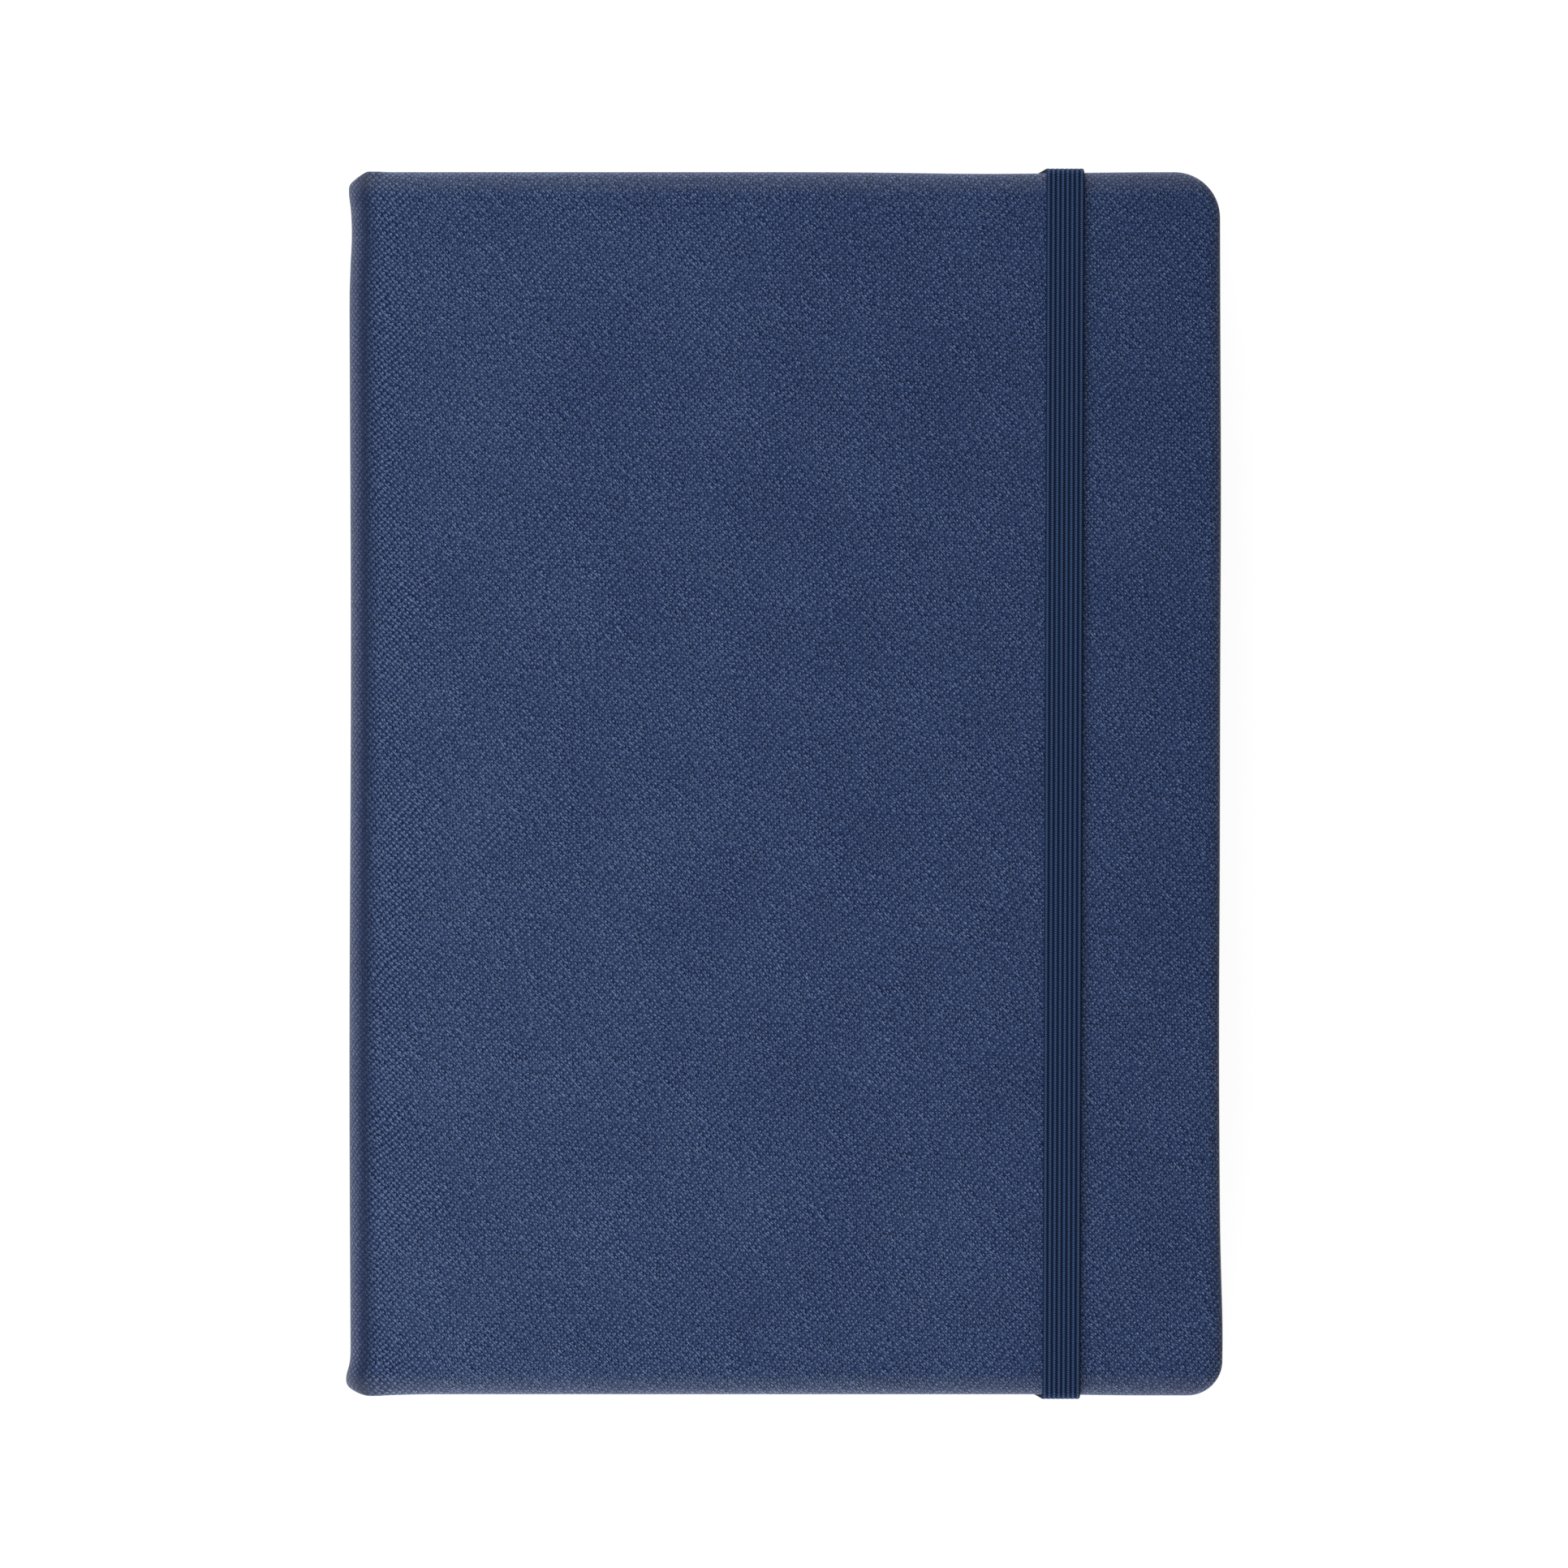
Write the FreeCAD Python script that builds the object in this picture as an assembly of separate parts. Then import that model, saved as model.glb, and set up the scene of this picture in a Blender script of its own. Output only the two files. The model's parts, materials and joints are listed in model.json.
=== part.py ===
"""A5 pilot logbook: a sewn, case-bound book with an elastic closure, lying closed on its rear cover.

Millimetres. +X runs from the spine to the fore-edge, +Y to the head, +Z up out of the front cover.
The origin is under the middle of the closed book, on the surface that it lies on.

The case is two boards and a spine card in one leather skin, which is turned in over their edges.
The skin is cut here at the two shoulders, because that is where it bends when the book opens.
The text block is twelve sewn signatures in two halves, which part at the middle opening.
The elastic starts in the rear board, comes out through a slot near the head and one near the tail,
and runs round both edges and over the front cover.
"""

import math
import os

import FreeCAD
import Part

# Case
BOOK_WIDTH = 152.5          # back of the spine to the fore-edge
BOOK_HEIGHT = 214.0         # head to tail of the case
CORNER_RADIUS = 7.4         # the two fore-edge corners of each cover
SKIN = 0.5                  # leather
BOARD = 2.0                 # grey board
SPINE_CARD = 1.0
SHOULDER_RADIUS = 4.4       # outside of the skin, where a cover turns into the spine
SHOULDER_SLIT = 0.3         # between the two halves of a shoulder's skin
BOARD_SETBACK = 5.0         # back of the spine to the near edge of a board
TURN_IN = 15.0              # how far the skin is folded over onto the inside of a board
EDGE_ROUND = 0.6            # outer edges of the skin
SPINE_END_CUT_X = 3.4       # the skin is drawn in at the head and tail of the spine
SPINE_END_CUT_Y = 3.0
SPINE_CARD_SETBACK = 4.1    # head of the case to the head of the spine card
SPINE_TURN_IN = 12.0
MULL_WIDTH = 24.0           # gauze flap that ties the text block to a board
MULL = 0.15

# Paper
PASTEDOWN = 0.15
PASTEDOWN_MARGIN = 3.0      # leather that shows round a pastedown
FLYLEAF = 0.15
SIGNATURE = 0.66            # eight leaves
SIGNATURES_PER_HALF = 6
HEAD_SQUARE = 2.0           # how far a cover stands out past the pages at the head and the tail
PAGE_CORNER_RADIUS = 6.0
FORE_EDGE_SQUARE = 2.95     # the same at the fore-edge
BLOCK_SETBACK = 3.85        # back of the spine to the folds of the signatures
FOLD_ROUND = 0.25
GUTTER_ROUND = 0.5          # where the pages fall away into the middle opening
PAPER_GAP = 0.04            # between two leaves or signatures that lie on each other
COVER_GAP = 0.25            # between a pastedown and its flyleaf
MIDDLE_GAP = 0.2            # between the two halves of the text block

# Back of the text block
LINING = 0.3
LINING_INSET = 12.0         # end of the pages to the end of the lining
BAND_TAPE = 0.2
BAND_TAPE_LENGTH = 11.0
BAND_BEAD_RADIUS = 0.7
THREAD_RADIUS = 0.2
KERF_WIDTH = 0.6
KERF_DEPTH = 0.45
STATIONS = 5                # sewing stations along the spine
STATION_INSET = 21.0        # end of the pages to the nearest station

# Elastic
ELASTIC_WIDTH = 6.6
ELASTIC = 0.7
ELASTIC_TO_FORE_EDGE = 27.2  # middle of the elastic to the fore-edge
ELASTIC_LEAN = 2.6          # how far it leans towards the spine on its way down to the rear cover
ELASTIC_GAP = 0.05
ELASTIC_SIDE_GAP = 0.3      # each side of the elastic in its channel and slot
SLOT_TO_EDGE = 9.0          # head of the case to the middle of the slot
ELASTIC_TAB = 12.0          # end that is glued down inside the rear board

# What follows from them
SPINE_BACK = -BOOK_WIDTH / 2
FORE_EDGE = BOOK_WIDTH / 2
HALF_HEIGHT = BOOK_HEIGHT / 2
HALF_PAGE = HALF_HEIGHT - HEAD_SQUARE
HALF_LINING = HALF_PAGE - LINING_INSET
STATION_SPAN = 2 * (HALF_PAGE - STATION_INSET)      # first station to last
COVER = 2 * SKIN + BOARD + PASTEDOWN
HALF_BLOCK = SIGNATURES_PER_HALF * (SIGNATURE + PAPER_GAP)
THICKNESS = 2 * (COVER + COVER_GAP + FLYLEAF + HALF_BLOCK) + MIDDLE_GAP
SPLIT = THICKNESS / 2       # the middle opening of the text block
BOARD_NEAR_EDGE = SPINE_BACK + BOARD_SETBACK
FOLDS = SPINE_BACK + BLOCK_SETBACK
PAGE_FORE_EDGE = FORE_EDGE - FORE_EDGE_SQUARE
SHOULDER_X = SPINE_BACK + SHOULDER_RADIUS
SLIT_ANGLE = math.degrees(SHOULDER_SLIT / 2 / SHOULDER_RADIUS)
ELASTIC_X = FORE_EDGE - ELASTIC_TO_FORE_EDGE
ANCHOR_X = ELASTIC_X - ELASTIC_LEAN
CHANNEL_DEPTH = ELASTIC + 2 * ELASTIC_GAP
SLOT_Y = HALF_HEIGHT - SLOT_TO_EDGE
ENDS = {"head": 1, "tail": -1}


def vec(x, y, z):
    return FreeCAD.Vector(x, y, z)


def box(x, y, z):
    """A box from three (low, high) pairs."""
    low = vec(min(x), min(y), min(z))
    high = vec(max(x), max(y), max(z))
    size = high - low
    return Part.makeBox(size.x, size.y, size.z, low)


def plate(x, half_y, z, radius):
    """A flat plate whose two corners at the fore-edge are round."""
    near, far = x
    straight = far - radius
    turn = radius * math.sqrt(0.5)
    low_corner = vec(straight, radius - half_y, z[0])
    high_corner = vec(straight, half_y - radius, z[0])
    edges = [
        Part.LineSegment(vec(near, half_y, z[0]), vec(near, -half_y, z[0])),
        Part.LineSegment(vec(near, -half_y, z[0]), vec(straight, -half_y, z[0])),
        Part.Arc(
            vec(straight, -half_y, z[0]), low_corner + vec(turn, -turn, 0), vec(far, radius - half_y, z[0])
        ),
        Part.LineSegment(vec(far, radius - half_y, z[0]), vec(far, half_y - radius, z[0])),
        Part.Arc(
            vec(far, half_y - radius, z[0]), high_corner + vec(turn, turn, 0), vec(straight, half_y, z[0])
        ),
        Part.LineSegment(vec(straight, half_y, z[0]), vec(near, half_y, z[0])),
    ]
    wire = Part.Wire([edge.toShape() for edge in edges])
    return Part.Face(wire).extrude(vec(0, 0, z[1] - z[0]))


def edges_at(solid, axis, value, tolerance=1e-6):
    """The edges of a solid that lie wholly in the plane axis = value."""
    found = []
    for edge in solid.Edges:
        bounds = edge.BoundBox
        low, high = getattr(bounds, axis + "Min"), getattr(bounds, axis + "Max")
        if abs(low - value) < tolerance and abs(high - value) < tolerance:
            found.append(edge)
    return found


def round_edges(solid, axis, value, radius, skip=None):
    """Rounds the edges in one plane, apart from those in a second plane."""
    chosen = edges_at(solid, axis, value)
    if skip:
        left_out = edges_at(solid, *skip)
        chosen = [e for e in chosen if not any(e.isSame(other) for other in left_out)]
    return solid.makeFillet(radius, chosen)


def upside_down(solid):
    """The same piece on the other cover: mirrored in the middle plane of the book."""
    return solid.mirror(vec(0, 0, SPLIT), vec(0, 0, 1))


def shoulder(centre_z, start, stop):
    """Skin round a shoulder, between two angles in degrees from +X towards +Z."""

    def at(radius, degrees):
        turn = math.radians(degrees)
        return vec(SHOULDER_X + radius * math.cos(turn), -HALF_HEIGHT, centre_z + radius * math.sin(turn))

    outer, inner, middle = SHOULDER_RADIUS, SHOULDER_RADIUS - SKIN, (start + stop) / 2
    edges = [
        Part.Arc(at(outer, start), at(outer, middle), at(outer, stop)),
        Part.LineSegment(at(outer, stop), at(inner, stop)),
        Part.Arc(at(inner, stop), at(inner, middle), at(inner, start)),
        Part.LineSegment(at(inner, start), at(outer, start)),
    ]
    wire = Part.Wire([edge.toShape() for edge in edges])
    return Part.Face(wire).extrude(vec(0, BOOK_HEIGHT, 0))


def draw_in_spine_ends(solid):
    """Cuts the skin back across the head and tail of the spine."""
    for side in ENDS.values():
        corner = vec(SPINE_BACK, side * HALF_HEIGHT, 0)
        along = vec(SPINE_BACK + SPINE_END_CUT_X, side * HALF_HEIGHT, 0)
        down = vec(SPINE_BACK, side * (HALF_HEIGHT - SPINE_END_CUT_Y), 0)
        wire = Part.makePolygon([corner, along, down, corner])
        solid = solid.cut(Part.Face(wire).extrude(vec(0, 0, THICKNESS)))
    return solid


def in_pair(make):
    """One piece at the head and its mirror image at the tail, joined into one shape."""
    return make(1).fuse(make(-1))


# The rear cover is built first, lying on z = 0. The front cover is the same without the elastic's cuts.

def board_blank():
    z = (SKIN, SKIN + BOARD)
    return plate((BOARD_NEAR_EDGE, FORE_EDGE - SKIN), HALF_HEIGHT - SKIN, z, CORNER_RADIUS - SKIN)


def skin_blank():
    """Skin of one cover: its outside, its edges, the turned-in margins and half of the shoulder."""
    inside = SKIN + BOARD
    shell = plate((SHOULDER_X, FORE_EDGE), HALF_HEIGHT, (0, inside + SKIN), CORNER_RADIUS)
    shell = round_edges(shell, "Z", 0, EDGE_ROUND, skip=("X", SHOULDER_X))
    shell = shell.cut(board_blank())
    tall = (-HALF_HEIGHT, HALF_HEIGHT)
    shell = shell.cut(box((SHOULDER_X, BOARD_NEAR_EDGE), tall, (SKIN, inside + SKIN)))
    window = box(
        (SHOULDER_X, FORE_EDGE - TURN_IN),
        (TURN_IN - HALF_HEIGHT, HALF_HEIGHT - TURN_IN),
        (inside, inside + SKIN),
    )
    shell = shell.cut(window)
    shell = shell.fuse(shoulder(SHOULDER_RADIUS, 225 + SLIT_ANGLE, 270))
    return draw_in_spine_ends(shell).removeSplitter()


def pastedown():
    """Paper glued over the inside of a board. It steps down from the turned-in skin to the board."""
    inside = SKIN + BOARD
    far, half_y = FORE_EDGE - PASTEDOWN_MARGIN, HALF_HEIGHT - PASTEDOWN_MARGIN
    radius = CORNER_RADIUS - PASTEDOWN_MARGIN
    sheet = plate((BOARD_NEAR_EDGE, far), half_y, (inside, inside + SKIN + PASTEDOWN), radius)
    on_skin = plate((BOARD_NEAR_EDGE, far), half_y, (inside, inside + SKIN), radius)
    window = box(
        (BOARD_NEAR_EDGE, FORE_EDGE - TURN_IN),
        (TURN_IN - HALF_HEIGHT, HALF_HEIGHT - TURN_IN),
        (inside, inside + SKIN),
    )
    well = box(
        (BOARD_NEAR_EDGE, FORE_EDGE - TURN_IN - PASTEDOWN),
        (TURN_IN + PASTEDOWN - HALF_HEIGHT, HALF_HEIGHT - TURN_IN - PASTEDOWN),
        (inside + PASTEDOWN + MULL, inside + SKIN + PASTEDOWN),
    )
    return sheet.cut(on_skin.cut(window)).cut(well).cut(mull_flap())


def mull_flap():
    """Gauze on the board, under the pastedown, along the joint."""
    inside = SKIN + BOARD
    reach = (TURN_IN - HALF_HEIGHT, HALF_HEIGHT - TURN_IN)
    return box((BOARD_NEAR_EDGE, BOARD_NEAR_EDGE + MULL_WIDTH), reach, (inside, inside + MULL))


# The elastic, and the cuts that it needs in the rear cover

def elastic_span(centre, extra=0.0):
    half = ELASTIC_WIDTH / 2 + extra
    return (centre - half, centre + half)


def channel(side, extra):
    """The pressed channel from the edge to the slot, with room for the skin that lines it if extra is SKIN."""
    low = SKIN if extra else 0.0
    return box(
        elastic_span(ANCHOR_X, ELASTIC_SIDE_GAP + extra),
        (side * (SLOT_Y - ELASTIC / 2 - ELASTIC_GAP - extra), side * (HALF_HEIGHT + extra)),
        (low, CHANNEL_DEPTH + extra),
    )


def slot(side):
    reach = ELASTIC / 2 + ELASTIC_GAP
    return box(
        elastic_span(ANCHOR_X, ELASTIC_SIDE_GAP),
        (side * (SLOT_Y - reach), side * (SLOT_Y + reach)),
        (0, SKIN + BOARD),
    )


def tab_pocket(side):
    """Recess in the inside of the board for the glued end of the elastic."""
    reach = ELASTIC / 2 + ELASTIC_GAP
    top = SKIN + BOARD
    return box(
        elastic_span(ANCHOR_X, ELASTIC_SIDE_GAP),
        (side * (SLOT_Y - reach - ELASTIC_TAB), side * (SLOT_Y + reach)),
        (top - ELASTIC - ELASTIC_GAP, top),
    )


def rear_board():
    board = board_blank()
    for side in ENDS.values():
        board = board.cut(channel(side, SKIN)).cut(slot(side)).cut(tab_pocket(side))
    return board


def rear_skin():
    skin = skin_blank()
    edge = box((SHOULDER_X, FORE_EDGE), (-HALF_HEIGHT, HALF_HEIGHT), (0, THICKNESS))
    for side in ENDS.values():
        lining = channel(side, SKIN).common(edge)
        skin = skin.fuse(lining).cut(channel(side, 0.0)).cut(slot(side))
    return skin.removeSplitter()


def elastic_end(side):
    """From the tab inside the rear board, out through the slot and along the channel to the edge."""
    top = SKIN + BOARD - ELASTIC_GAP
    outer = side * (HALF_HEIGHT + ELASTIC_GAP + ELASTIC)
    near, far = side * (SLOT_Y - ELASTIC / 2), side * (SLOT_Y + ELASTIC / 2)
    width = elastic_span(ANCHOR_X)
    tab = box(width, (near - side * ELASTIC_TAB, far), (top - ELASTIC, top))
    riser = box(width, (near, far), (ELASTIC_GAP, top))
    run = box(width, (near, outer), (ELASTIC_GAP, ELASTIC_GAP + ELASTIC))
    return tab.fuse(riser).fuse(run).removeSplitter()


def elastic_side(side):
    """The leaning run outside the head or the tail."""
    y = side * (HALF_HEIGHT + ELASTIC_GAP)
    foot = [vec(x, y, ELASTIC_GAP + ELASTIC) for x in elastic_span(ANCHOR_X)]
    top = [vec(x, y, THICKNESS + ELASTIC_GAP) for x in elastic_span(ELASTIC_X)]
    wire = Part.makePolygon([foot[0], foot[1], top[1], top[0], foot[0]])
    return Part.Face(wire).extrude(vec(0, side * ELASTIC, 0))


def elastic_front():
    """The long run over the front cover, with its two rounded turns over the edges."""
    reach = HALF_HEIGHT + ELASTIC_GAP + ELASTIC
    low = THICKNESS + ELASTIC_GAP
    run = box(elastic_span(ELASTIC_X), (-reach, reach), (low, low + ELASTIC))
    turns = [
        edge
        for edge in edges_at(run, "Z", low + ELASTIC)
        if edge.BoundBox.YLength < ELASTIC_GAP
    ]
    return run.makeFillet(EDGE_ROUND, turns)


# The spine of the case

def spine_card():
    near = SPINE_BACK + SKIN
    height = HALF_HEIGHT - SPINE_CARD_SETBACK
    return box(
        (near, near + SPINE_CARD), (-height, height), (SHOULDER_RADIUS, THICKNESS - SHOULDER_RADIUS)
    )


def spine_skin():
    """Back of the spine, half of each shoulder, and the turned-in ends round the spine card."""
    z = (SHOULDER_RADIUS, THICKNESS - SHOULDER_RADIUS)
    back = box((SPINE_BACK, SPINE_BACK + SKIN), (-HALF_HEIGHT, HALF_HEIGHT), z)
    back = back.fuse(shoulder(SHOULDER_RADIUS, 180, 225 - SLIT_ANGLE))
    back = back.fuse(shoulder(THICKNESS - SHOULDER_RADIUS, 135 + SLIT_ANGLE, 180))
    back = draw_in_spine_ends(back)
    card_end = HALF_HEIGHT - SPINE_CARD_SETBACK
    inner = SPINE_BACK + SKIN + SPINE_CARD
    for side in ENDS.values():
        cap = box((SPINE_BACK, inner + SKIN), (side * card_end, side * (card_end + SKIN)), z)
        flap = box((inner, inner + SKIN), (side * (card_end - SPINE_TURN_IN), side * card_end), z)
        back = back.fuse(cap).fuse(flap)
    return draw_in_spine_ends(back).removeSplitter()


# The text block. Each half is built as the rear one, from its flyleaf up to the middle opening.

def page_plate(z, near=FOLDS):
    return plate((near, PAGE_FORE_EDGE), HALF_PAGE, z, PAGE_CORNER_RADIUS)


def block_bottom():
    return COVER + COVER_GAP + FLYLEAF + PAPER_GAP


def station_heights():
    step = STATION_SPAN / (STATIONS - 1)
    return [i * step - STATION_SPAN / 2 for i in range(STATIONS)]


def signature(number):
    """One folded section of eight leaves. Number 0 lies on the flyleaf, the last at the middle opening."""
    low = block_bottom() + number * (SIGNATURE + PAPER_GAP)
    section = page_plate((low, low + SIGNATURE))
    at_opening = number == SIGNATURES_PER_HALF - 1
    for z, radius in ((low, FOLD_ROUND), (low + SIGNATURE, FOLD_ROUND)):
        if at_opening:
            radius = GUTTER_ROUND if z > low else SIGNATURE - GUTTER_ROUND - PAPER_GAP
        fold = [e for e in edges_at(section, "Z", z) if e.BoundBox.XMax < FOLDS + 1e-6]
        section = section.makeFillet(radius, fold)
    for y in station_heights():
        kerf = box(
            (FOLDS, FOLDS + KERF_DEPTH), (y - KERF_WIDTH / 2, y + KERF_WIDTH / 2), (low, low + SIGNATURE)
        )
        section = section.cut(kerf)
    return section


def sewing_thread():
    """The link stitches that cross the folds of one half, one upright run at each station."""
    top = block_bottom() + HALF_BLOCK - PAPER_GAP - GUTTER_ROUND
    height = top - block_bottom()
    x = FOLDS + THREAD_RADIUS
    runs = [
        Part.makeCylinder(THREAD_RADIUS, height, vec(x, y, block_bottom())) for y in station_heights()
    ]
    return Part.makeCompound(runs)


def block_back():
    """Height of one half of the text block's back, as a (low, high) pair."""
    return (block_bottom(), block_bottom() + HALF_BLOCK - PAPER_GAP)


def spine_lining():
    return box((FOLDS - LINING, FOLDS), (-HALF_LINING, HALF_LINING), block_back())


def end_band(side):
    """Headband or tailband: a cloth bead on the ends of the folds, on a tape glued to the lining."""
    low, high = block_back()
    bead_y = side * (HALF_PAGE + BAND_BEAD_RADIUS)
    bead = Part.makeCylinder(BAND_BEAD_RADIUS, high - low, vec(FOLDS + BAND_BEAD_RADIUS / 2, bead_y, low))
    near = FOLDS - LINING - BAND_TAPE
    tape_y = (side * (HALF_LINING - BAND_TAPE_LENGTH), bead_y)
    tape = box((near, FOLDS - LINING), tape_y, (low, high))
    bridge_y = (side * (HALF_PAGE + BAND_BEAD_RADIUS / 2), bead_y)
    bridge = box((near, FOLDS), bridge_y, (low, high))
    return bead.fuse(tape).fuse(bridge).removeSplitter()


def flyleaf():
    low = COVER + COVER_GAP
    return page_plate((low, low + FLYLEAF))


def half_block(half, flip):
    """All pieces of one half of the text block, as name to shape. Signature 1 is under the front cover."""
    made = {
        f"{half}_flyleaf": flyleaf(),
        f"{half}_spine_lining": spine_lining(),
        f"{half}_headband": end_band(ENDS["head"]),
        f"{half}_tailband": end_band(ENDS["tail"]),
        f"{half}_sewing_thread": sewing_thread(),
    }
    for number in range(SIGNATURES_PER_HALF):
        place = number + 1 if half == "front" else 2 * SIGNATURES_PER_HALF - number
        made[f"signature_{place:02d}"] = signature(number)
    return {name: upside_down(shape) if flip else shape for name, shape in made.items()}


def all_parts():
    parts = {
        "rear_board": rear_board(),
        "rear_cover_leather": rear_skin(),
        "rear_pastedown": pastedown(),
        "rear_mull_flap": mull_flap(),
        "front_board": upside_down(board_blank()),
        "front_cover_leather": upside_down(skin_blank()),
        "front_pastedown": upside_down(pastedown()),
        "front_mull_flap": upside_down(mull_flap()),
        "spine_card": spine_card(),
        "spine_leather": spine_skin(),
        "elastic_front_run": elastic_front(),
    }
    parts.update(half_block("rear", flip=False))
    parts.update(half_block("front", flip=True))
    for end, side in ENDS.items():
        parts[f"elastic_{end}_side"] = elastic_side(side)
        parts[f"elastic_{end}_anchor"] = elastic_end(side)
    return parts


def main():
    os.makedirs("parts", exist_ok=True)
    for name, shape in sorted(all_parts().items()):
        shape.exportStep(os.path.join("parts", name + ".step"))
        bounds = shape.BoundBox
        print(
            f"{name:22s} solids {len(shape.Solids)} valid {shape.isValid()} volume {shape.Volume:9.1f}"
            f"  z {bounds.ZMin:6.2f} to {bounds.ZMax:6.2f}"
        )


main()
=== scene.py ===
"""Looks for the pilot logbook: a case-bound A5 book in navy cross-grain leatherette with an elastic closure.

The book lies closed on its rear cover. +X runs from the spine to the fore-edge, +Y to the head, +Z up.
Lengths in this file are millimetres in the CAD frame; a mesh is scaled to metres when it is made.
"""

import json
import math

import bpy
import numpy as np
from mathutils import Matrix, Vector

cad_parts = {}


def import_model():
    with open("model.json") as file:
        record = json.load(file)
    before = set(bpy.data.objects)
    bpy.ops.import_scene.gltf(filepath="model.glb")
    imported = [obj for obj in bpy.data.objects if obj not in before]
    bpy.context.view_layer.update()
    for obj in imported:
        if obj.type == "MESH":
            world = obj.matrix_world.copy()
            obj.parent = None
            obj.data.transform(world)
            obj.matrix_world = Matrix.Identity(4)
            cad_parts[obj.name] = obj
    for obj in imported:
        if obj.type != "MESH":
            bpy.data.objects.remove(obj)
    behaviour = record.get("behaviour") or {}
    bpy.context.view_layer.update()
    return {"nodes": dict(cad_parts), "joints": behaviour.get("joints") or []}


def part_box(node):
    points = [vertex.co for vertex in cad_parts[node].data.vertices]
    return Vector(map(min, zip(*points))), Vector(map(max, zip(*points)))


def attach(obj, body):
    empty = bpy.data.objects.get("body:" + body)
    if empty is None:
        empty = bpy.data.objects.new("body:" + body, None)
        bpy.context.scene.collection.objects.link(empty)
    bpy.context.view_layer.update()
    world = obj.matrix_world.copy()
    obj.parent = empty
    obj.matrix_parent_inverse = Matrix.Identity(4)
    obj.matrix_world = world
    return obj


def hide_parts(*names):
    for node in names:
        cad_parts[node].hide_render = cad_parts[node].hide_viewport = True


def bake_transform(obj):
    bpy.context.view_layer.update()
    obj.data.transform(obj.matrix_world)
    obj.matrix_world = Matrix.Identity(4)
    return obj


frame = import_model()

MM = 0.001


def cad_box(node):
    """Lowest and highest corner of a CAD node, in millimetres."""
    low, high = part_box(node)
    return np.array(low) / MM, np.array(high) / MM


# Sizes that the CAD gives
FORE, HALF, THICK = cad_box("front_cover_leather")[1]
BACK = cad_box("spine_leather")[0][0]
COVER = cad_box("rear_cover_leather")[1][2]
SHOULDER = cad_box("spine_card")[0][2]
BOARD_EDGE = cad_box("front_board")[0][0]
page_low, page_high = cad_box("signature_06")
run_low, run_high = cad_box("elastic_front_run")
anchor_low, anchor_high = cad_box("elastic_head_anchor")
ELASTIC_X = (run_low[0] + run_high[0]) / 2
ANCHOR_X = (anchor_low[0] + anchor_high[0]) / 2
ELASTIC_WIDTH = run_high[0] - run_low[0]
ELASTIC_THICK = run_high[2] - run_low[2]

# Sizes that only the looks have
CORNER_HEAD = 8.0  # corner radius of the covers at the head
CORNER_TAIL = 5.9
EDGE_ROUND = 1.4  # depth of the rounding of a cover's edge
EDGE_WIDE = 2.6  # how far that rounding reaches in from the edge
SPREAD = EDGE_WIDE / EDGE_ROUND
ROUND_SHARE = 0.48  # the most of the skin's thickness that the rounding is deep
SWELL = 2.2  # length over which the rounding grows where the board begins
SHADE_BAND_AT = 8.7  # from mid-spine over the shoulder to the middle of the band of painted shade
SPINE_STACK = 1.7  # thickness of the spine: skin, card and turned-in ends
FOLD_STACK = 1.05  # thickness of the skin where it is turned in on itself
PASTEDOWN = 0.15
TURN_IN = 15.0
TURN_IN_STEP = 0.4  # how far the turned-in margin stands proud of the board
STEP_SLOPE = 0.4  # half the width of the slope at that step
SLOT = 9.0  # distance of the elastic's slots from the head and the tail
CHANNEL = 10.45  # length of the channel pressed into the rear cover under each end of the elastic
CHANNEL_SIDE = 0.35  # room beside the elastic in that channel
BOARD_INSET = 1.6  # distance of the stiff boards from the covers' outline
PAGE_CORNER = 6.0
LEAVES = 8  # in one signature
RIBS = 8  # across the elastic
ELASTIC_ASIDE = 0.3  # how much nearer the spine the elastic lies than the CAD's


def smooth(x, low, high):
    """0 below low, 1 above high and an S between."""
    t = np.clip((np.asarray(x, float) - low) / (high - low), 0, 1)
    return t * t * (3 - 2 * t)


def bell(x, middle, width):
    return np.exp(-(((np.asarray(x, float) - middle) / width) ** 2))


def make_mesh(name, points, faces, body=None, material=None, grain=None, sharp=None):
    """A mesh object from points in millimetres. grain is each point's place on the flattened material."""
    mesh = bpy.data.meshes.new(name)
    mesh.from_pydata((np.asarray(points, float) * MM).tolist(), [], faces)
    mesh.validate()
    mesh.polygons.foreach_set("use_smooth", [sharp is not None] * len(mesh.polygons))
    if sharp is not None:
        mesh.set_sharp_from_angle(angle=math.radians(sharp))
    if grain is not None:
        layer = mesh.attributes.new("grain", "FLOAT_VECTOR", "POINT")
        layer.data.foreach_set("vector", np.asarray(grain, np.float32).ravel())
    obj = bpy.data.objects.new(name, mesh)
    bpy.context.scene.collection.objects.link(obj)
    if material:
        mesh.materials.append(material)
    if body:
        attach(obj, body)
    return obj


# Materials


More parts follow.
